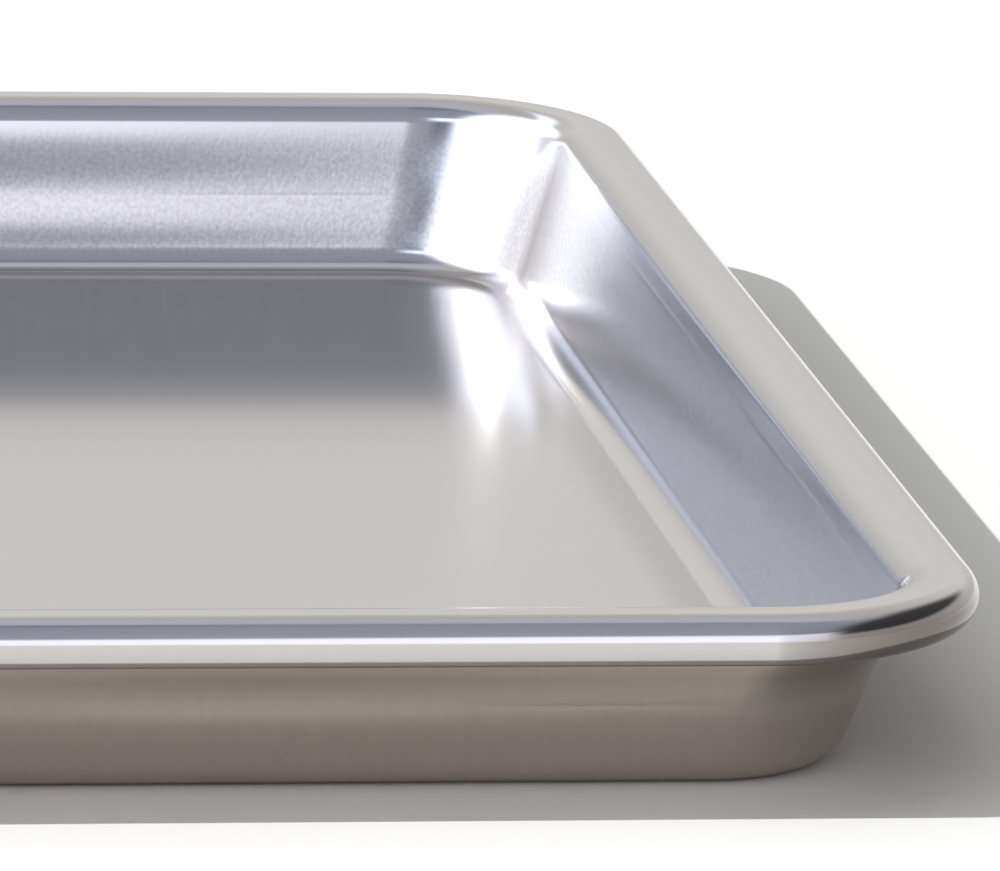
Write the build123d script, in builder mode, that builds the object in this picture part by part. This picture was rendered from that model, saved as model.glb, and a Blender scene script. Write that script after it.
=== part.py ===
from build123d import *
import math
import os

# Outside sizes of the pan, over the rolled rim
pan_length = 457.0
pan_width = 330.0
pan_height = 25.4

# Aluminium sheet the pan is pressed from
sheet_thickness = 1.0

# Side walls, leaning outward from the floor to the rim
wall_draft_angle = 18.0
floor_bend_radius = 5.0
floor_corner_radius = 10.3

# Rolled rim: shoulder bend at the top of the wall, flat land, curl, and closing lip
shoulder_bend_radius = 4.0
rim_land_width = 2.4
curl_radius = 2.8
lip_rise_angle = 8.0
lip_wall_gap = 0.6

# Steel wire trapped inside the curl, its two ends butted on the back side
wire_clearance = 0.05
wire_end_gap = 0.8

# Heights and radii that follow, with bend radii taken on the sheet's middle line
half_sheet = sheet_thickness / 2
land_height = pan_height - half_sheet
curl_centre_height = land_height - curl_radius
curl_wrap_angle = 180 + lip_rise_angle
wire_radius = curl_radius - half_sheet - wire_clearance

# Directions up the wall and back along the lip, each one unit long
draft = math.radians(wall_draft_angle)
rise = math.radians(lip_rise_angle)
wall_step = (math.sin(draft), math.cos(draft))
lip_step = (-math.cos(rise), math.sin(rise))
wall_slope = math.tan(draft)

# How far in from the rim's outer edge the middle line's corners lie
bend_angle = 90 - wall_draft_angle
half_bend_slope = math.tan(math.radians(bend_angle / 2))
floor_tangent = floor_bend_radius * half_bend_slope
shoulder_tangent = shoulder_bend_radius * half_bend_slope
curl_centre_inset = curl_radius + half_sheet
wall_top_inset = curl_centre_inset + rim_land_width + shoulder_tangent
wall_foot_inset = wall_top_inset + (land_height - half_sheet) * wall_slope
floor_flat_inset = wall_foot_inset + floor_tangent
rim_corner_radius = floor_corner_radius + floor_flat_inset

# Size of the flat part of the floor
floor_length = pan_length - 2 * floor_flat_inset
floor_width = pan_width - 2 * floor_flat_inset

# Points of the section: distance out from the corner's upright axis, and height
floor_edge = (floor_corner_radius, half_sheet)
shoulder_start = (
    rim_corner_radius - wall_top_inset - shoulder_tangent * wall_step[0],
    land_height - shoulder_tangent * wall_step[1],
)
curl_start = (rim_corner_radius - curl_centre_inset, land_height)
curl_centre = (rim_corner_radius - curl_centre_inset, curl_centre_height)
lip_start = (
    curl_centre[0] - curl_radius * lip_step[1],
    curl_centre[1] + curl_radius * lip_step[0],
)

# The lip runs back to the wall and stops a gap short of its outer face
lip_stop_at_floor = rim_corner_radius - wall_foot_inset + half_sheet / wall_step[1] + lip_wall_gap
lip_stop = lip_stop_at_floor + (lip_start[1] - half_sheet) * wall_slope
lip_length = (lip_start[0] - lip_stop) / (wall_slope * lip_step[1] - lip_step[0])

# Outline of the flat floor, which every section is carried round
with BuildSketch() as floor_outline:
    RectangleRounded(floor_length, floor_width, floor_corner_radius)
ring_path = floor_outline.face().outer_wire()
ring_heading = ring_path % 0
ring_outward = ring_heading.cross(Vector(0, 0, 1))
section_plane = Plane(
    origin=ring_path @ 0 - ring_outward * floor_corner_radius,
    x_dir=ring_outward,
    z_dir=-ring_heading,
)

# Pan: floor, walls, shoulder, land, curl and lip are one pressed sheet
with BuildPart() as pan_shell:
    with BuildSketch(section_plane):
        with BuildLine():
            floor_bend = JernArc(floor_edge, (1, 0), floor_bend_radius, bend_angle)
            Line(floor_bend @ 1, shoulder_start)
            shoulder = JernArc(shoulder_start, wall_step, shoulder_bend_radius, -bend_angle)
            Line(shoulder @ 1, curl_start)
            curl = JernArc(curl_start, (1, 0), curl_radius, -curl_wrap_angle)
            PolarLine(curl @ 1, lip_length, direction=lip_step)
        trace(line_width=sheet_thickness)
    sweep(path=ring_path)
    with BuildSketch():
        RectangleRounded(floor_length, floor_width, floor_corner_radius)
    extrude(amount=sheet_thickness)

# Rim wire: one length of round wire bent to the rim, its ends meeting on the back side
with BuildPart() as rim_wire:
    with BuildSketch(section_plane):
        with Locations(curl_centre):
            Circle(wire_radius)
    sweep(path=ring_path)
    with Locations((0, pan_width / 2 - curl_centre_inset, curl_centre_height)):
        Box(wire_end_gap, 3 * wire_radius, 3 * wire_radius, mode=Mode.SUBTRACT)

pan_shell.part.label = "pan_shell"
rim_wire.part.label = "rim_wire"

os.makedirs("parts", exist_ok=True)
export_step(pan_shell.part, "parts/pan_shell.step")
export_step(rim_wire.part, "parts/rim_wire.step")
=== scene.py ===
import logging
from dataclasses import dataclass, field
from enum import Enum

import bpy
import numpy as np
from mathutils import Matrix, Vector


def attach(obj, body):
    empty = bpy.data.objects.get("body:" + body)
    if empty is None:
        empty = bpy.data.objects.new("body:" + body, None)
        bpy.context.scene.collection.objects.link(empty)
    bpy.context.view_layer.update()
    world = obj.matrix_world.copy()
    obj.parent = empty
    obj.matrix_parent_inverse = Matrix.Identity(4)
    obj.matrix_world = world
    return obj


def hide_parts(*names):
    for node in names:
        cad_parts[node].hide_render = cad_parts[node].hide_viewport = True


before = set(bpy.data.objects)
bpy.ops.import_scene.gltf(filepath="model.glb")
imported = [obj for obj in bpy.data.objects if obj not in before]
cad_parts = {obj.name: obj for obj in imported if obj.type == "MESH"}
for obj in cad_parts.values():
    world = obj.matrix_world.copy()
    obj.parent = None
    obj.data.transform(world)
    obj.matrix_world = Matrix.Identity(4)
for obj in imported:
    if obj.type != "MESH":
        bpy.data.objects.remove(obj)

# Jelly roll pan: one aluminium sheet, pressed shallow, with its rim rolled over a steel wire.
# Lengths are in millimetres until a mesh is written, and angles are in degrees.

MM = 0.001
PHOTO_WIDTH_PX = 1000
SENSOR_MM = 36.0
SAME_MM = 1e-6

# Sockets of the Mix and Mix Shader nodes that can't be told apart by name
FACTOR, NUMBER_A, NUMBER_B, COLOUR_A, COLOUR_B = 0, 2, 3, 6, 7
SHADER_A, SHADER_B = 1, 2
COLOUR_OUT = 2

log = logging.getLogger("jelly_roll_pan")


class Skin(Enum):
    """The two faces of the sheet, as the side of its middle line that each lies on."""

    COOKING = 1.0
    OUTER = -1.0


def linear(hex_colour: str) -> tuple[float, float, float, float]:
    """Turn a display colour into the linear light that the shaders take.

    Args:
        hex_colour: Six hex digits of an sRGB colour, or eight with an alpha at the end.

    Returns:
        Linear red, green and blue, and the alpha, which is 1 where none is given. Each
        channel c below 0.04045 is divided by 12.92, and the others become
        ((c + 0.055) / 1.055) to the power 2.4.
    """
    digits = (hex_colour + "FF")[:8]
    c = np.array([int(digits[i:i + 2], 16) for i in (0, 2, 4, 6)]) / 255.0
    light = np.where(c <= 0.04045, c / 12.92, ((c + 0.055) / 1.055) ** 2.4)
    return (float(light[0]), float(light[1]), float(light[2]), float(c[3]))


def add_node(tree: bpy.types.NodeTree, kind: str, inputs: dict | None = None,
             **settings: object) -> bpy.types.Node:
    """Add a node with its settings, its fixed inputs and its links.

    Args:
        tree: The node tree that gets the node.
        kind: Blender's type name of the node.
        inputs: Socket name or index, to the value or to the output socket that feeds it.
        settings: Attributes of the node.

    Returns:
        The new node.
    """
    node = tree.nodes.new(kind)
    for name, value in settings.items():
        setattr(node, name, value)
    for socket, value in (inputs or {}).items():
        if isinstance(value, bpy.types.NodeSocket):
            tree.links.new(value, node.inputs[socket])
        else:
            node.inputs[socket].default_value = value
    return node


def fill_ramp(node: bpy.types.Node, stops: tuple[tuple[float, str], ...]) -> None:
    """Set the stops of a colour ramp.

    Args:
        node: The colour ramp node.
        stops: Position and sRGB hex colour of each stop, in rising order.
    """
    ramp = node.color_ramp
    while len(ramp.elements) > 1:
        ramp.elements.remove(ramp.elements[-1])
    ramp.elements[0].position, ramp.elements[0].color = stops[0][0], linear(stops[0][1])
    for position, colour in stops[1:]:
        ramp.elements.new(position).color = linear(colour)


@dataclass
class Pen:
    """Draws a section in the plane of distance outward and height, one run after another."""

    place: np.ndarray
    heading: float
    points: list[np.ndarray] = field(default_factory=list)
    headings: list[np.ndarray] = field(default_factory=list)

    def line(self, length: float, shares: np.ndarray) -> None:
        """Go straight on.

        Args:
            length: Length of the run.
            shares: Where its stations lie, from 0 at the start to 1 at the end.
        """
        step = np.array([np.cos(self.heading), np.sin(self.heading)])
        self.points.append(self.place + np.outer(shares * length, step))
        self.headings.append(np.full(len(shares), self.heading))
        self.place = self.place + length * step

    def arc(self, radius: float, turn: float, steps: int) -> None:
        """Turn along an arc: centre plus radius times the unit vector of each angle.

        Args:
            radius: Radius of the arc.
            turn: Angle to turn through in degrees, to the left where positive.
            steps: Number of chords.
        """
        side = np.sign(turn)
        across = np.array([-np.sin(self.heading), np.cos(self.heading)]) * side
        centre = self.place + radius * across
        angles = self.heading + np.radians(turn) * np.linspace(0, 1, steps + 1)
        spokes = np.stack([np.sin(angles), -np.cos(angles)], axis=1) * side * radius
        self.points.append(centre + spokes)
        self.headings.append(angles)
        self.place = centre + spokes[-1]
        self.heading = float(angles[-1])


@dataclass
class RoundedPath:
    """The path that every section is carried round: a rectangle of corner axes."""

    half_length: float
    half_width: float
    corner_steps: int = 40
    side_step: float = 12.0
    fewest_steps: int = 4
    hold: tuple[float, float] = (0.35, 1.75)

    def side(self, length: float) -> np.ndarray:
        """Stations along a side as shares, evenly spaced but held close at both ends.

        Args:
            length: Length of the side.

        Returns:
            Shares between 0 and 1, without the ends, which the corners hold.
        """
        count = max(self.fewest_steps, int(round(length / self.side_step)))
        even = np.linspace(0, 1, count + 1)[1:-1]
        close = np.array(self.hold) / length
        return np.concatenate([close, even, 1 - close[::-1]])

    def stations(self) -> tuple[np.ndarray, np.ndarray]:
        """Walk once round the path, from the middle of the back side, seen from above.

        On a corner the axis stays and the outward direction turns by the angle walked. On a
        side the direction stays and the axis moves on.

        Returns:
            Axis points and outward unit vectors.
        """
        a, b = self.half_length, self.half_width
        turn = np.linspace(0, np.pi / 2, self.corner_steps + 1)
        corners = [(a, b), (a, -b), (-a, -b), (-a, b)]
        axes, angles = [], []
        for i, corner in enumerate(corners):
            start = np.pi / 2 - i * np.pi / 2
            axes.append(np.repeat([corner], len(turn), axis=0))
            angles.append(start - turn)
            following = np.array(corners[(i + 1) % len(corners)])
            run = following - np.array(corner)
            shares = self.side(float(np.abs(run).sum()))
            axes.append(np.array(corner) + np.outer(shares, run))
            angles.append(np.full(len(shares), start - np.pi / 2))
        axis = np.concatenate(axes).astype(float)
        angle = np.concatenate(angles)
        first = int(np.argmin(np.where(axis[:, 1] < b, np.inf, np.abs(axis[:, 0]))))
        axis, angle = np.roll(axis, -first, axis=0), np.roll(angle, -first)
        return axis, np.stack([np.cos(angle), np.sin(angle)], axis=1)


def closed_mesh(name: str, grid: np.ndarray,
                caps: tuple[np.ndarray, np.ndarray]) -> bpy.types.Mesh:
    """Write a grid of points as one closed, smooth mesh.

    Quads join each row to the next, and each column to the next, the last to the first.
    A fan joins the first row to the first cap, and another the last row to the last cap.

    Args:
        name: Name of the mesh.
        grid: Points in millimetres, as rows that close on themselves.
        caps: A point that closes the first row and one that closes the last row.

    Returns:
        The mesh, in metres.
    """
    rows, columns, _ = grid.shape
    index = np.arange(rows * columns).reshape(rows, columns)
    right = np.roll(index, -1, axis=1)
    quads = np.stack([index[:-1], index[1:], right[1:], right[:-1]], axis=-1)
    cap = np.full(columns, rows * columns)
    faces = quads.reshape(-1, 4).tolist()
    faces += np.stack([cap, index[0], right[0]], axis=1).tolist()
    faces += np.stack([cap + 1, right[-1], index[-1]], axis=1).tolist()
    points = np.concatenate([grid.reshape(-1, 3), np.array(caps)])
    mesh = bpy.data.meshes.new(name)
    mesh.from_pydata((points * MM).tolist(), [], faces)
    mesh.validate()
    mesh.polygons.foreach_set("use_smooth", np.ones(len(mesh.polygons), dtype=bool))
    mesh.update()
    return mesh


def show(mesh: bpy.types.Mesh, material: bpy.types.Material) -> bpy.types.Object:
    """Put a mesh into the scene at the origin, in its finish.

    Args:
        mesh: The finished mesh.
        material: Its finish.

    Returns:
        The new object, which has the mesh's name.
    """
    piece = bpy.data.objects.new(mesh.name, mesh)
    bpy.context.scene.collection.objects.link(piece)
    mesh.materials.append(material)
    return piece


@dataclass(frozen=True)
class MillAluminium:
    """Rolled aluminium sheet with its natural mill finish, pressed to shape.

    The eye sees a satin metal: reflections are blurred but keep their place. The floor
    keeps the even bloom of the rolls, with faint lines in the direction of rolling. The
    walls were stretched as they were drawn, which roughens them to a fine mottled grain.
    The outer face rubbed on the press tool, is warmer, and has faint upright streaks. It
    has painted shade toward the curl, and painted shade makes the curl darker at its corners.
    """

    cooking_colour: str = "C9C6C4"
    outer_colour: str = "CABFB8"
    worn_colour: str = "BDB2AB"
    # Dull specks of the grain on the cooking face, and painted shade under the curl on the outer
    # face
    tarnish_and_shade_colour: str = "999089"
    # Painted shade at the corners of the curl
    corner_shade_colour: str = "7A726D"
    # Heights between which the painted shade under the curl comes in
    painted_shade_mm: tuple[float, float] = (10.5, 15.0)
    roughness: float = 0.13
    drawn_roughness: float = 0.19
    outer_roughness: float = 0.26
    # Octaves of the noise that draws the grain and the streaks
    fine_detail: float = 3.0
    # Widths of the patterns: a pixel of the photograph covers 0.12 to 0.15 mm
    # of the pan, so the real ones aren't known any finer than that.
    grain_mm: float = 0.65
    grain_stretch: tuple[float, float, float] = (1.0, 1.0, 0.45)
    rolling_mm: float = 0.7
    rolling_stretch: tuple[float, float, float] = (0.01, 1.0, 1.0)
    rolling_detail: float = 2.0
    streak_mm: float = 1.4
    streak_stretch: tuple[float, float, float] = (1.0, 1.0, 0.03)
    # The grain's dull specks: most tarnish, and the range of the noise that it covers
    speckle: float = 0.35
    speckle_range: tuple[float, float] = (0.35, 0.7)
    relief_mm: float = 0.01
    rolling_relief: float = 0.04
    floor_relief: float = 0.07
    drawn_relief: float = 1.0

    def relief(self, tree: bpy.types.NodeTree, place: bpy.types.NodeSocket,
               drawn: bpy.types.NodeSocket) -> bpy.types.NodeSocket:
        """Raise the lines of rolling and the grain, which is strong on the drawn walls.

        Args:
            tree: The material's node tree.
            place: Output socket of the place on the piece.
            drawn: Output socket that is 1 on the drawn walls.

        Returns:
            Output socket of the surface's normal.
        """
        along = add_node(tree, "ShaderNodeMapping", {
            "Vector": place, "Scale": self.rolling_stretch})
        rolling = add_node(tree, "ShaderNodeTexNoise", {
            "Vector": along.outputs[0], "Scale": 1 / (self.rolling_mm * MM),
            "Detail": self.rolling_detail})
        lines = add_node(tree, "ShaderNodeBump", {
            "Strength": self.rolling_relief, "Distance": self.relief_mm * MM,
            "Height": rolling.outputs[0]})
        upright = add_node(tree, "ShaderNodeMapping", {
            "Vector": place, "Scale": self.grain_stretch})
        grain = add_node(tree, "ShaderNodeTexNoise", {
            "Vector": upright.outputs[0], "Scale": 1 / (self.grain_mm * MM),
            "Detail": self.fine_detail})
        strength = add_node(tree, "ShaderNodeMapRange", {
            "Value": drawn, "To Min": self.floor_relief, "To Max": self.drawn_relief})
        pits = add_node(tree, "ShaderNodeBump", {
            "Strength": strength.outputs[0], "Distance": self.relief_mm * MM,
            "Height": grain.outputs[0], "Normal": lines.outputs[0]})
        return pits.outputs[0]

    def inner_colour(self, tree: bpy.types.NodeTree, place: bpy.types.NodeSocket,
                     drawn: bpy.types.NodeSocket) -> bpy.types.NodeSocket:
        """Colour the cooking face and the rim: clean metal, specks, and painted shade at the
        curl's corners.

        Args:
            tree: The material's node tree.
            place: Output socket of the place on the piece.
            drawn: Output socket that is 1 on the drawn walls.

        Returns:
            Output socket of the colour.
        """
        mottle = add_node(tree, "ShaderNodeTexNoise", {
            "Vector": place, "Scale": 1 / (self.grain_mm * MM),
            "Detail": self.fine_detail})
        specks = add_node(tree, "ShaderNodeMapRange", {
            "Value": mottle.outputs[0], "From Min": self.speckle_range[0],
            "From Max": self.speckle_range[1], "To Max": self.speckle})
        dull = add_node(tree, "ShaderNodeMath", {
            0: specks.outputs[0], 1: drawn}, operation="MULTIPLY")
        speckled = add_node(tree, "ShaderNodeMix", {
            FACTOR: dull.outputs[0], COLOUR_A: linear(self.cooking_colour),
            COLOUR_B: linear(self.tarnish_and_shade_colour)}, data_type="RGBA")
        # Painted shade: the curl is darker toward the middle of each corner
        curl_corner_shade = add_node(tree, "ShaderNodeAttribute", attribute_name="curl_corner_shade")
        corner_shaded = add_node(tree, "ShaderNodeMix", {
            FACTOR: curl_corner_shade.outputs["Fac"], COLOUR_A: speckled.outputs[COLOUR_OUT],
            COLOUR_B: linear(self.corner_shade_colour)}, data_type="RGBA")
        return corner_shaded.outputs[COLOUR_OUT]

    def rubbed_colour(self, tree: bpy.types.NodeTree, place: bpy.types.NodeSocket,
                      drawn: bpy.types.NodeSocket) -> bpy.types.NodeSocket:
        """Colour the outer face: warm metal in upright streaks, with painted shade toward the
        curl.

        Args:
            tree: The material's node tree.
            place: Output socket of the place on the piece.
            drawn: Output socket that is 1 on the drawn walls.

        Returns:
            Output socket of the colour.
        """
        pulled = add_node(tree, "ShaderNodeMapping", {
            "Vector": place, "Scale": self.streak_stretch})
        streak = add_node(tree, "ShaderNodeTexNoise", {
            "Vector": pulled.outputs[0], "Scale": 1 / (self.streak_mm * MM),
            "Detail": self.fine_detail})
        warm = add_node(tree, "ShaderNodeMix", {
            FACTOR: streak.outputs[0], COLOUR_A: linear(self.worn_colour),
            COLOUR_B: linear(self.outer_colour)}, data_type="RGBA")
        height = add_node(tree, "ShaderNodeSeparateXYZ", {0: place})
        # Painted shade: the outer face darkens toward the curl, between the two heights
        under_curl = add_node(tree, "ShaderNodeMapRange", {
            "Value": height.outputs["Z"], "From Min": self.painted_shade_mm[0] * MM,
            "From Max": self.painted_shade_mm[1] * MM})
        curl_shade = add_node(tree, "ShaderNodeMath", {
            0: under_curl.outputs[0], 1: drawn}, operation="MULTIPLY")
        shaded_below_curl = add_node(tree, "ShaderNodeMix", {
            FACTOR: curl_shade.outputs[0], COLOUR_A: warm.outputs[COLOUR_OUT],
            COLOUR_B: linear(self.tarnish_and_shade_colour)}, data_type="RGBA")
        return shaded_below_curl.outputs[COLOUR_OUT]

    def material(self) -> bpy.types.Material:
        """Build the shader.

        Returns:
            The material.
        """
        made = bpy.data.materials.new("mill_finish_aluminium")
        made.use_nodes = True
        tree = made.node_tree
        tree.nodes.clear()
        place = add_node(tree, "ShaderNodeTexCoord").outputs["Object"]
        outer = add_node(tree, "ShaderNodeAttribute", attribute_name="outer_face")
        worked = add_node(tree, "ShaderNodeAttribute", attribute_name="drawn")
        drawn = worked.outputs["Fac"]
        rough = add_node(tree, "ShaderNodeMapRange", {
            "Value": drawn, "To Min": self.roughness, "To Max": self.drawn_roughness})
        rubbed = add_node(tree, "ShaderNodeMix", {
            FACTOR: outer.outputs["Fac"], NUMBER_A: rough.outputs[0],
            NUMBER_B: self.outer_roughness})
        colour = add_node(tree, "ShaderNodeMix", {
            FACTOR: outer.outputs["Fac"], COLOUR_A: self.inner_colour(tree, place, drawn),
            COLOUR_B: self.rubbed_colour(tree, place, drawn)}, data_type="RGBA")
        shader = add_node(tree, "ShaderNodeBsdfPrincipled", {
            "Base Color": colour.outputs[COLOUR_OUT], "Metallic": 1.0,
            "Roughness": rubbed.outputs[0], "Normal": self.relief(tree, place, drawn)})
        add_node(tree, "ShaderNodeOutputMaterial", {"Surface": shader.outputs[0]})
        return made


@dataclass(frozen=True)
class GalvanisedWire:
    """Drawn steel wire with a hot-dip zinc coat.

    The curl hides it. The zinc would give the eye a dull blue-grey metal, a little
    smoother in some patches than in others.
    """

    colour: str = "9DA1A5"
    roughness: float = 0.42
    roughness_spread: float = 0.1
    patch_mm: float = 0.8
    patch_detail: float = 3.0

    def material(self) -> bpy.types.Material:
        """Build the shader.

        Returns:
            The material.
        """
        made = bpy.data.materials.new("galvanised_steel_wire")
        made.use_nodes = True
        tree = made.node_tree
        tree.nodes.clear()
        place = add_node(tree, "ShaderNodeTexCoord").outputs["Object"]
        patches = add_node(tree, "ShaderNodeTexNoise", {
            "Vector": place, "Scale": 1 / (self.patch_mm * MM),
            "Detail": self.patch_detail})
        rough = add_node(tree, "ShaderNodeMapRange", {
            "Value": patches.outputs[0], "To Min": self.roughness - self.roughness_spread,
            "To Max": self.roughness + self.roughness_spread})
        shader = add_node(tree, "ShaderNodeBsdfPrincipled", {
            "Base Color": linear(self.colour), "Metallic": 1.0,
            "Roughness": rough.outputs[0]})
        add_node(tree, "ShaderNodeOutputMaterial", {"Surface": shader.outputs[0]})
        return made


@dataclass
class PressedSheet:
    """The pan itself: floor, walls, shoulder, land, curl and lip in one sheet."""

    length: float = 457.0
    width: float = 330.0
    height: float = 25.4
    sheet: float = 1.0
    draft: float = 18.0
    floor_bend: float = 5.0
    floor_corner: float = 10.3
    shoulder_bend: float = 4.0
    land: float = 2.4
    curl: float = 2.8
    lip_rise: float = 8.0
    lip_gap: float = 0.6
    # How much rounder than the swept section the corners are at the walls' foot
    corner_ease: float = 4.2
    # Swells along the walls: tilt, wave up the wall, and the run in which they fade out at
    # its foot. Along the side they come and go about a mean, with a crest near each end.
    swell_tilt: float = 2.8
    swell_step: float = 12.8
    swell_fade: float = 2.0
    swell_mean: float = 0.65
    swell_change: float = 0.45
    swell_crest: float = 60.0
    swell_run: float = 140.0
    # Draw lines on the long and the short sides: drop below the wall's top, and fading.
    # A long side has one by each end, as long as the reach; a short one stays clear of it.
    line_drops: tuple[float, float] = (11.2, 2.4)
    line_height: float = 0.015
    line_width: float = 0.3
    line_reach: float = 30.0
    line_clear: float = 10.0
    line_fades: tuple[float, float] = (12.0, 25.0)
    # The grain: the share of the wall in which it comes in, and where it ends in the bend
    grain_start: float = 0.25
    grain_end: float = 1.0
    grain_fade: float = 3.0
    # The curl's painted corner shade: how far below the land it starts, and how it comes in
    corner_shade_drop: float = 0.4
    corner_shade_fade: float = 2.0
    corner_shade_power: float = 0.5
    # Rows of the mesh, evenly spaced but held close at the ends of every run
    hold: float = 0.15
    floor_rows: int = 10
    floor_holds: tuple[float, float] = (0.985, 0.998)
    floor_bend_steps: int = 18
    wall_rows: int = 24
    line_rows: int = 11
    line_spread: float = 3.0
    shoulder_steps: int = 16
    flat_rows: int = 3
    curl_steps: int = 40

    def held(self, count: int, length: float) -> np.ndarray:
        """Even shares of a straight run, with one more close to each end to keep it flat."""
        close = self.hold / length
        return np.concatenate([[0, close], np.linspace(0, 1, count + 1)[1:-1], [1 - close, 1]])

    def bend_reach(self) -> float:
        """How much of the wall, and of the flat beside it, a bend of radius 1 takes."""
        return float(np.tan(np.radians((90 - self.draft) / 2)))

    def insets(self) -> dict[str, float]:
        """Distances in from the rim's outer edge to the corners of the middle line.

        Returns:
            The inset of the curl's centre, the wall's top and foot, and the flat floor.
        """
        centre = self.curl + self.sheet / 2
        top = centre + self.land + self.shoulder_bend * self.bend_reach()
        foot = top + (self.height - self.sheet) * np.tan(np.radians(self.draft))
        return {"curl": centre, "top": top, "foot": foot,
                "floor": foot + self.floor_bend * self.bend_reach()}

    def wall_run(self) -> float:
        """Length of the straight part of the wall, measured up its slope."""
        slope = (self.height - self.sheet) / np.cos(np.radians(self.draft))
        return float(slope - (self.floor_bend + self.shoulder_bend) * self.bend_reach())

    def wall_shares(self) -> np.ndarray:
        """Place the stations up the wall, with more of them across each draw line.

        Returns:
            Shares of the wall from its foot to its top.
        """
        run = self.wall_run()
        near = np.linspace(-1, 1, self.line_rows) * self.line_spread * self.line_width
        lines = [(run - drop + near) / run for drop in self.line_drops]
        return np.unique(np.concatenate([self.held(self.wall_rows, run), *lines]))

    def floor_shares(self) -> np.ndarray:
        """Shares of the way from the middle of the floor to its edge, held close there."""
        return np.append(np.linspace(0, 1, self.floor_rows + 1)[1:-1], self.floor_holds)

    def middle_line(self) -> tuple[np.ndarray, np.ndarray, np.ndarray]:
        """Draw the sheet's middle line from the flat floor's edge to the end of the lip.

        Returns:
            Points (distance out from the corner's axis, height), unit normals to them on
            the cooking side, and how far each lies below the wall's top, along the wall:
            the whole wall's length on the floor side of it, and 0 on the rim side.
        """
        inset = self.insets()
        slope = np.radians(self.draft)
        rise = np.radians(self.lip_rise)
        wall = self.wall_run()
        pen = Pen(np.array([self.floor_corner, self.sheet / 2]), 0.0)
        pen.arc(self.floor_bend, 90 - self.draft, self.floor_bend_steps)
        shares = self.wall_shares()
        pen.line(wall, shares)
        pen.arc(self.shoulder_bend, self.draft - 90, self.shoulder_steps)
        pen.line(self.land, self.held(self.flat_rows, self.land))
        pen.arc(self.curl, -180 - self.lip_rise, self.curl_steps)
        rim = self.floor_corner + inset["floor"]
        floor_stop = rim - inset["foot"] + self.sheet / 2 / np.cos(slope) + self.lip_gap
        wall_stop = floor_stop + (pen.place[1] - self.sheet / 2) * np.tan(slope)
        lip = (pen.place[0] - wall_stop) / (np.tan(slope) * np.sin(rise) + np.cos(rise))
        pen.line(lip, self.held(self.flat_rows, lip))
        points, headings = np.concatenate(pen.points), np.concatenate(pen.headings)
        before, after = len(pen.points[0]), sum(len(run) for run in pen.points[2:])
        drop = np.concatenate([np.full(before, wall), wall * (1 - shares), np.zeros(after)])
        keep = np.r_[True, np.linalg.norm(np.diff(points, axis=0), axis=1) > SAME_MM]
        points, headings, drop = points[keep], headings[keep], drop[keep]
        return points, np.stack([-np.sin(headings), np.cos(headings)], axis=1), drop

    def path(self) -> RoundedPath:
        """The rectangle of the four corners' upright axes."""
        rim = self.floor_corner + self.insets()["floor"]
        return RoundedPath(self.length / 2 - rim, self.width / 2 - rim)

    def foot(self) -> np.ndarray:
        """Outline of the flat that the pan stands on.

        Returns:
            Points, clockwise seen from above: axis, drawn in by the ease, + the radius and
            the ease times the outward vector.
        """
        path = self.path()
        axis, outward = path.stations()
        shrink = 1 - self.corner_ease / np.array([path.half_length, path.half_width])
        return axis * shrink + (self.floor_corner + self.corner_ease) * outward

    def press_marks(self, drop: np.ndarray, axis: np.ndarray) -> np.ndarray:
        """How far the walls stand off their plane, toward the food.

        A swell runs along the wall: minus its height times the sine of the drop, whose
        slope is the swell's tilt. It comes and goes along the side as its mean plus a
        cosine. Each draw line is a faint ridge, its height times a bell curve of the drop:
        one half way down the ends of the long sides, one under the shoulder of the short.

        Args:
            drop: Distance below the wall's top of each row.
            axis: Axis point of each station.

        Returns:
            Distances as rows by stations.
        """
        height = np.radians(self.swell_tilt) * self.swell_step / (2 * np.pi)
        calm = np.clip((self.wall_run() - drop) / self.swell_fade, 0, 1)
        swell = -height * np.sin(2 * np.pi * drop / self.swell_step) * calm
        path = self.path()
        from_end = path.half_length - np.abs(axis[:, 0])
        from_side = path.half_width - np.abs(axis[:, 1])
        wave = np.cos(2 * np.pi * (from_end - self.swell_crest) / self.swell_run)
        come = self.swell_mean + self.swell_change * wave
        long_fade, short_fade = self.line_fades
        by_end = np.minimum(from_end, self.line_reach - from_end) / long_fade
        mid_side = (from_side - self.line_clear) / short_fade
        reaches = (np.clip(by_end, 0, 1) * (from_side < SAME_MM),
                   np.clip(mid_side, 0, 1) * (from_end < SAME_MM))
        marks = swell[:, None] * come[None]
        for line, reach in zip(self.line_drops, reaches):
            bell = np.exp(-((drop - line) / self.line_width) ** 2)
            marks += self.line_height * bell[:, None] * reach[None]
        return marks

    def face(self, skin: Skin) -> np.ndarray:
        """Carry one face of the section round the path, and fill the floor inside it.

        A point is axis + outward distance times the outward vector, at the section's
        height, moved by the press marks along the section's normal. Down the corners the
        radius grows past the section's own by the ease, and the axis draws in by as much,
        so the sides stay where they are. The floor's rings are the first ring scaled
        towards the middle of the pan.

        Args:
            skin: The face to carry.

        Returns:
            Points in millimetres, as rows from the middle of the floor to the lip's end.
        """
        path = self.path()
        axis, outward = path.stations()
        line, normal, drop = self.middle_line()
        section = line + skin.value * self.sheet / 2 * normal
        marks = self.press_marks(drop, axis)
        ease = self.corner_ease * drop / self.wall_run()
        shrink = 1 - ease[:, None] / np.array([path.half_length, path.half_width])
        reach = section[:, 0, None] + ease[:, None] + marks * normal[:, 0, None]
        ring = axis[None] * shrink[:, None] + reach[..., None] * outward[None]
        height = section[:, 1, None] + marks * normal[:, 1, None]
        shares = self.floor_shares()
        floor = shares[:, None, None] * ring[:1]
        level = np.full((len(shares), len(axis)), section[0, 1])
        return np.concatenate([np.dstack([floor, level]), np.dstack([ring, height])])

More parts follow.
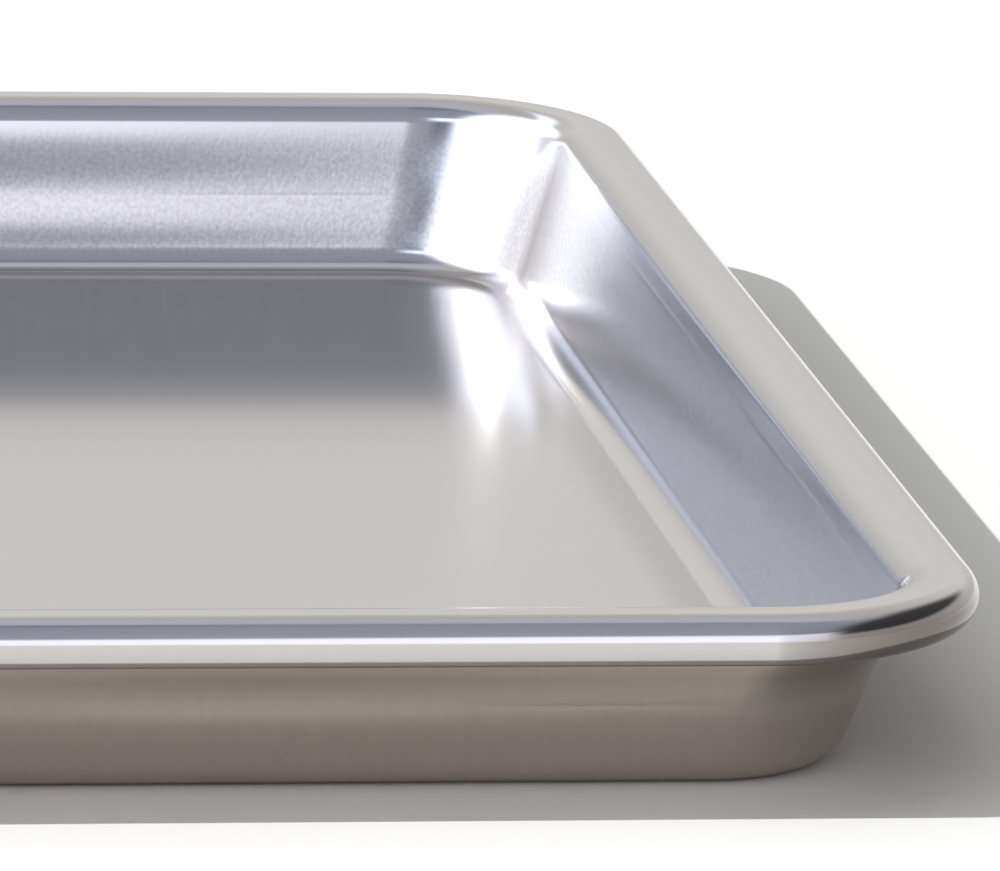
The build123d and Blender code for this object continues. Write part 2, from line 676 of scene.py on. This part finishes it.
    def wear_and_shade(self, skin: Skin) -> dict[str, np.ndarray]:
        """Say where the press changed the finish, and where shade is painted, on a face's rows
        and stations.

        Args:
            skin: The face that it is for.

        Returns:
            Three layers of numbers from 0 to 1. outer_face is 1 on the sheet's outside.
            drawn is 1 on the walls, and fades to 0 at the rim and in the floor's bend.
            The third, the painted shade of the curl's corners, is the fall of the curl's outer
            side times the root of the sine of twice the outward angle, which is 1 in the middle
            of each corner.
        """
        _, outward = self.path().stations()
        line, _, drop = self.middle_line()
        rise = line[:, 1] - self.sheet / 2
        drawn = np.clip(drop / (self.grain_start * self.wall_run()), 0, 1)
        drawn *= np.clip((rise - self.grain_end) / self.grain_fade, 0, 1)
        land = self.height - self.sheet
        # Painted shade on the curl's outer side, strongest in the middle of each corner
        curl = np.clip((land - self.corner_shade_drop - rise) / self.corner_shade_fade, 0, 1)
        curl *= line[:, 0] > line[drop > 0, 0].max() + self.land
        corner = np.abs(2 * outward[:, 0] * outward[:, 1]) ** self.corner_shade_power
        floor = np.zeros(len(self.floor_shares()))
        drawn, curl = np.append(floor, drawn), np.append(floor, curl)
        shape = (len(drawn), len(corner))
        return {"outer_face": np.full(shape, float(skin is Skin.OUTER)),
                "drawn": np.tile(drawn[:, None], len(corner)),
                "curl_corner_shade": np.outer(curl, corner)}

    def mesh(self, name: str) -> bpy.types.Mesh:
        """Join both faces at the lip's end into one sheet, closed over the floor.

        Args:
            name: Name of the mesh.

        Returns:
            The closed mesh, with the finish's layers and the painted shade as point attributes.
        """
        grid = np.concatenate([self.face(Skin.COOKING), self.face(Skin.OUTER)[::-1]])
        made = closed_mesh(name, grid, (np.array([0, 0, self.sheet]), np.zeros(3)))
        inner, outer = self.wear_and_shade(Skin.COOKING), self.wear_and_shade(Skin.OUTER)
        for layer, values in inner.items():
            rows = np.concatenate([values, outer[layer][::-1]])
            caps = [values[0, 0], outer[layer][0, 0]]
            made.attributes.new(layer, "FLOAT", "POINT").data.foreach_set(
                "value", np.append(rows, caps).astype(np.float32))
        return made

    def build(self, finish: MillAluminium) -> bpy.types.Object:
        """Build the pan in its finish and let it stand for its node.

        Args:
            finish: The sheet's finish.

        Returns:
            The finished piece.
        """
        piece = show(self.mesh("pressed_pan"), finish.material())
        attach(piece, "root")
        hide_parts("pan_shell")
        return piece


@dataclass
class RimWire:
    """The wire in the curl: one bent length, its two ends butted on the back side."""

    sheet: PressedSheet
    clearance: float = 0.05
    end_gap: float = 0.8
    sides: int = 28

    def mesh(self, name: str) -> bpy.types.Mesh:
        """Carry a circle round the curl's centre, open at the middle of the back side.

        A point is axis + (centre distance + radius times cosine) times the outward vector,
        at the centre's height + radius times sine.

        Args:
            name: Name of the mesh.

        Returns:
            The closed tube, with flat ends.
        """
        inset = self.sheet.insets()
        rim = self.sheet.floor_corner + inset["floor"]
        out = rim - inset["curl"]
        level = self.sheet.height - self.sheet.sheet / 2 - self.sheet.curl
        radius = self.sheet.curl - self.sheet.sheet / 2 - self.clearance
        axis, outward = self.sheet.path().stations()
        axis = np.concatenate([axis, axis[:1]])
        outward = np.concatenate([outward, outward[:1]])
        axis[0, 0], axis[-1, 0] = self.end_gap / 2, -self.end_gap / 2
        turn = np.linspace(0, 2 * np.pi, self.sides, endpoint=False)
        reach = out + radius * np.cos(turn)
        ring = axis[:, None] + reach[None, :, None] * outward[:, None]
        height = np.tile(level + radius * np.sin(turn), (len(axis), 1))
        grid = np.dstack([ring, height])
        ends = [np.array([axis[i, 0], axis[i, 1] + out, level]) for i in (0, -1)]
        return closed_mesh(name, grid, (ends[0], ends[1]))

    def build(self, finish: GalvanisedWire) -> bpy.types.Object:
        """Build the wire in its finish and let it stand for its node.

        Args:
            finish: The wire's finish.

        Returns:
            The finished piece.
        """
        piece = show(self.mesh("curl_wire"), finish.material())
        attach(piece, "root")
        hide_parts("rim_wire")
        return piece


@dataclass(frozen=True)
class RoomSide:
    """What the metal mirrors on one side of the room, from the horizon to overhead.

    The stops are heights (the sine of the elevation) with their colours, which let the
    room behind through by their alpha. The side fades in where its axis of the direction
    goes from start to end, and its light is multiplied by the gain.
    """

    stops: tuple[tuple[float, str], ...]
    axis: str = "Y"
    start: float = 0.0
    end: float = 1.0
    gain: float = 1.0


@dataclass
class Studio:
    """White table, one hard lamp from the left, and the room that the metal mirrors.

    Places in the room are parts of a direction of length 1, and lengths are in metres.
    """

    table_colour: str = "F9F9F8"
    table_reach: float = 4.0
    lamp_direction: tuple[float, float, float] = (25.0, 1.0, -22.1)
    lamp_strength: float = 2.8
    lamp_angle: float = 0.55
    room_strength: float = 2.0
    # Soft light on what doesn't mirror, from its strength at the left to that at the right
    fill_colour: str = "FFFFFF"
    fill_left: float = 1.0
    fill_right: float = 0.1
    fill_span: float = 0.6
    front: RoomSide = RoomSide((
        (0.0, "E7EAF8"), (0.32, "E7EAF8"), (0.415, "7C808E"), (0.5, "868A98"),
        (0.94, "7E828F"), (0.985, "6C707B")))
    # From the first X to the second, the front rises by the third number
    front_lift: tuple[float, float, float] = (0.11, 0.19, 0.11)
    # A grey gap between the screens, from left (0) to right (1), up to the heights below
    screen_gap: tuple[tuple[float, str], ...] = (
        (0.25, "FFFFFF"), (0.28, "A4A4A8"), (0.36, "A4A4A8"), (0.42, "FFFFFF"))
    gap_top: tuple[float, float] = (0.5, 0.6)
    sides: tuple[RoomSide, ...] = (
        RoomSide(((0.0, "9C9C9C"), (0.12, "A2A2A2"), (0.225, "ACABAA"), (0.3, "B3B2B0"),
                  (0.5, "AAA9A7"), (0.8, "9C9B99"), (0.956, "A0A2AC"), (1.0, "9A9EAA")),
                 "Y", -0.05, 0.05),
        RoomSide(((0.5, "D8E6FF00"), (0.58, "D8E6FF"), (0.66, "D8E6FF"), (0.7, "D8E6FF00")),
                 "X", -0.04, -0.3, 1.4),
        RoomSide(((0.0, "92969E"), (0.2, "9CA0A9"), (0.31, "EAF1FF"), (0.5, "EAF1FF"),
                  (0.62, "DEE5F6"), (0.85, "D4DAEC"), (0.95, "666B77")), "X", -0.38, -0.62, 1.65),
        RoomSide(((0.0, "B0B0B0"), (0.26, "A0A0A2"), (0.36, "38383A"), (0.72, "38383A"),
                  (0.85, "848896")), "X", 0.5, 0.7))

    def table(self, foot: np.ndarray) -> bpy.types.Object:
        """Lay the table round the pan's foot: a flat ring from there to the table's reach.

        It is open under the pan's own floor, where that can't be seen, and clear from
        below, so that the underside is lit and shows in a view from there.

        Args:
            foot: Outline of the opening in millimetres, clockwise seen from above.

        Returns:
            The table.
        """
        count = len(foot)
        inner = foot * MM
        rings = np.concatenate([inner, inner * self.table_reach / inner[:, 0].max()])
        points = np.column_stack([rings, np.zeros(len(rings))])
        index = np.arange(count)
        following = np.roll(index, -1)
        faces = np.stack([index, index + count, following + count, following], axis=1)[:, ::-1]
        mesh = bpy.data.meshes.new("table")
        mesh.from_pydata(points.tolist(), [], faces.tolist())
        made = bpy.data.materials.new("white_table_laminate")
        made.use_nodes = True
        tree = made.node_tree
        tree.nodes.clear()
        shader = add_node(tree, "ShaderNodeBsdfDiffuse", {"Color": linear(self.table_colour)})
        below = add_node(tree, "ShaderNodeNewGeometry").outputs["Backfacing"]
        clear = add_node(tree, "ShaderNodeBsdfTransparent")
        shown = add_node(tree, "ShaderNodeMixShader", {
            FACTOR: below, SHADER_A: shader.outputs[0], SHADER_B: clear.outputs[0]})
        add_node(tree, "ShaderNodeOutputMaterial", {"Surface": shown.outputs[0]})
        floor = show(mesh, made)
        return floor

    def lamp(self) -> bpy.types.Object:
        """Hang the lamp, far off to the left.

        Returns:
            The lamp.
        """
        data = bpy.data.lights.new("key_lamp", "SUN")
        data.energy = self.lamp_strength
        data.angle = np.radians(self.lamp_angle)
        lamp = bpy.data.objects.new("key_lamp", data)
        bpy.context.scene.collection.objects.link(lamp)
        lamp.rotation_euler = Vector(self.lamp_direction).to_track_quat("-Z", "Y").to_euler()
        return lamp

    def side(self, tree: bpy.types.NodeTree, way: bpy.types.Node,
             whole: bpy.types.NodeSocket, side: RoomSide) -> bpy.types.NodeSocket:
        """Fade one side of the room in over what the metal mirrors so far.

        Args:
            tree: The world's node tree.
            way: The node that gives the direction's parts.
            whole: Output socket of the room's colour so far.
            side: The side to fade in.

        Returns:
            Output socket of the room's colour with that side in it.
        """
        ramp = add_node(tree, "ShaderNodeValToRGB", {0: way.outputs["Z"]})
        fill_ramp(ramp, side.stops)
        share = add_node(tree, "ShaderNodeMapRange", {
            "Value": way.outputs[side.axis], "From Min": side.start,
            "From Max": side.end}, interpolation_type="SMOOTHSTEP")
        share = add_node(tree, "ShaderNodeMath", {
            0: share.outputs[0], 1: ramp.outputs["Alpha"]}, operation="MULTIPLY")
        light = add_node(tree, "ShaderNodeVectorMath", {
            0: ramp.outputs[0], "Scale": side.gain}, operation="SCALE")
        mixed = add_node(tree, "ShaderNodeMix", {
            FACTOR: share.outputs[0], COLOUR_A: whole, COLOUR_B: light.outputs[0]},
            data_type="RGBA")
        return mixed.outputs[COLOUR_OUT]

    def ahead(self, tree: bpy.types.NodeTree, way: bpy.types.Node) -> bpy.types.NodeSocket:
        """Hang the bright screens in front of the pan, with the grey gap between them.

        Args:
            tree: The world's node tree.
            way: The node that gives the direction's parts.

        Returns:
            Output socket of the room's colour in front.
        """
        start, end, most = self.front_lift
        lift = add_node(tree, "ShaderNodeMapRange", {
            "Value": way.outputs["X"], "From Min": start, "From Max": end, "To Max": most})
        lowered = add_node(tree, "ShaderNodeMath", {
            0: way.outputs["Z"], 1: lift.outputs[0]}, operation="SUBTRACT")
        screens = add_node(tree, "ShaderNodeValToRGB", {0: lowered.outputs[0]})
        fill_ramp(screens, self.front.stops)
        across = add_node(tree, "ShaderNodeMapRange", {
            "Value": way.outputs["X"], "From Min": -1.0, "From Max": 1.0})
        gap = add_node(tree, "ShaderNodeValToRGB", {0: across.outputs[0]})
        fill_ramp(gap, self.screen_gap)
        low = add_node(tree, "ShaderNodeMapRange", {
            "Value": way.outputs["Z"], "From Min": self.gap_top[1],
            "From Max": self.gap_top[0]})
        whole = add_node(tree, "ShaderNodeMix", {
            FACTOR: low.outputs[0], COLOUR_A: screens.outputs[0],
            COLOUR_B: gap.outputs[0]}, data_type="RGBA", blend_type="MULTIPLY")
        return whole.outputs[COLOUR_OUT]

    def room(self) -> None:
        """Set the world: white to the camera, the room to the metal, soft light to the rest."""
        world = bpy.data.worlds.new("studio_room")
        bpy.context.scene.world = world
        world.use_nodes = True
        tree = world.node_tree
        tree.nodes.clear()
        way = add_node(tree, "ShaderNodeSeparateXYZ", {
            0: add_node(tree, "ShaderNodeTexCoord").outputs["Generated"]})
        whole = self.ahead(tree, way)
        for side in self.sides:
            whole = self.side(tree, way, whole, side)
        seen = add_node(tree, "ShaderNodeLightPath")
        mirrored = add_node(tree, "ShaderNodeMath", {
            0: seen.outputs["Is Glossy Ray"], 1: seen.outputs["Is Transmission Ray"]},
            operation="MAXIMUM")
        level = add_node(tree, "ShaderNodeMapRange", {
            "Value": way.outputs["X"], "From Min": -self.fill_span,
            "From Max": self.fill_span, "To Min": self.fill_left,
            "To Max": self.fill_right})
        fill = add_node(tree, "ShaderNodeBackground", {
            "Color": linear(self.fill_colour), "Strength": level.outputs[0]})
        room = add_node(tree, "ShaderNodeBackground", {
            "Color": whole, "Strength": self.room_strength})
        white = add_node(tree, "ShaderNodeBackground", {
            "Color": linear("FFFFFF"), "Strength": 1.0})
        lit = add_node(tree, "ShaderNodeMixShader", {
            FACTOR: mirrored.outputs[0], SHADER_A: fill.outputs[0],
            SHADER_B: room.outputs[0]})
        shown = add_node(tree, "ShaderNodeMixShader", {
            FACTOR: seen.outputs["Is Camera Ray"], SHADER_A: lit.outputs[0],
            SHADER_B: white.outputs[0]})
        add_node(tree, "ShaderNodeOutputWorld", {"Surface": shown.outputs[0]})

    def build(self, foot: np.ndarray) -> None:
        """Set up the table, the lamp and the room, and show colours as they are written.

        Args:
            foot: Outline of the flat that the pan stands on, in millimetres.
        """
        self.table(foot)
        self.lamp()
        self.room()
        bpy.context.scene.view_settings.view_transform = "Standard"


@dataclass
class Viewpoint:
    """The photograph's camera, solved from the rim, wall and floor lines."""

    place: tuple[float, float, float] = (-24.3, -1346.0, 324.7)
    yaw: float = 9.017
    pitch: float = 13.013
    roll: float = -1.977
    focal_px: float = 10199.0
    clip: tuple[float, float] = (0.05, 50.0)

    def build(self) -> bpy.types.Object:
        """Set the camera: yaw turns it right from +Y, pitch tips it down, roll turns the frame.

        Returns:
            The scene's camera.
        """
        yaw, pitch, roll = np.radians([self.yaw, self.pitch, self.roll])
        right = np.array([np.cos(yaw), -np.sin(yaw), 0.0])
        level = np.array([np.sin(yaw), np.cos(yaw), 0.0])
        up = np.array([0.0, 0.0, 1.0])
        forward = np.cos(pitch) * level - np.sin(pitch) * up
        down = -np.sin(pitch) * level - np.cos(pitch) * up
        across = np.cos(roll) * right + np.sin(roll) * down
        below = -np.sin(roll) * right + np.cos(roll) * down
        turned = np.stack([across, -below, -forward], axis=1)
        data = bpy.data.cameras.new("photo_camera")
        data.sensor_width = SENSOR_MM
        data.lens = self.focal_px * SENSOR_MM / PHOTO_WIDTH_PX
        data.clip_start, data.clip_end = self.clip
        camera = bpy.data.objects.new("photo_camera", data)
        bpy.context.scene.collection.objects.link(camera)
        camera.matrix_world = (Matrix.Translation(Vector(self.place) * MM)
                               @ Matrix(turned.tolist()).to_4x4())
        bpy.context.scene.camera = camera
        return camera


def main() -> None:
    """Build the studio, the camera and the pan, and log each piece's count of faces."""
    logging.basicConfig(level=logging.INFO, format="%(name)s: %(message)s")
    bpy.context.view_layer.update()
    sheet = PressedSheet()
    Studio().build(sheet.foot())
    Viewpoint().build()
    for piece in (sheet.build(MillAluminium()), RimWire(sheet).build(GalvanisedWire())):
        log.info("%s: %d faces", piece.name, len(piece.data.polygons))
    bpy.context.view_layer.update()


if __name__ == "__main__":
    main()
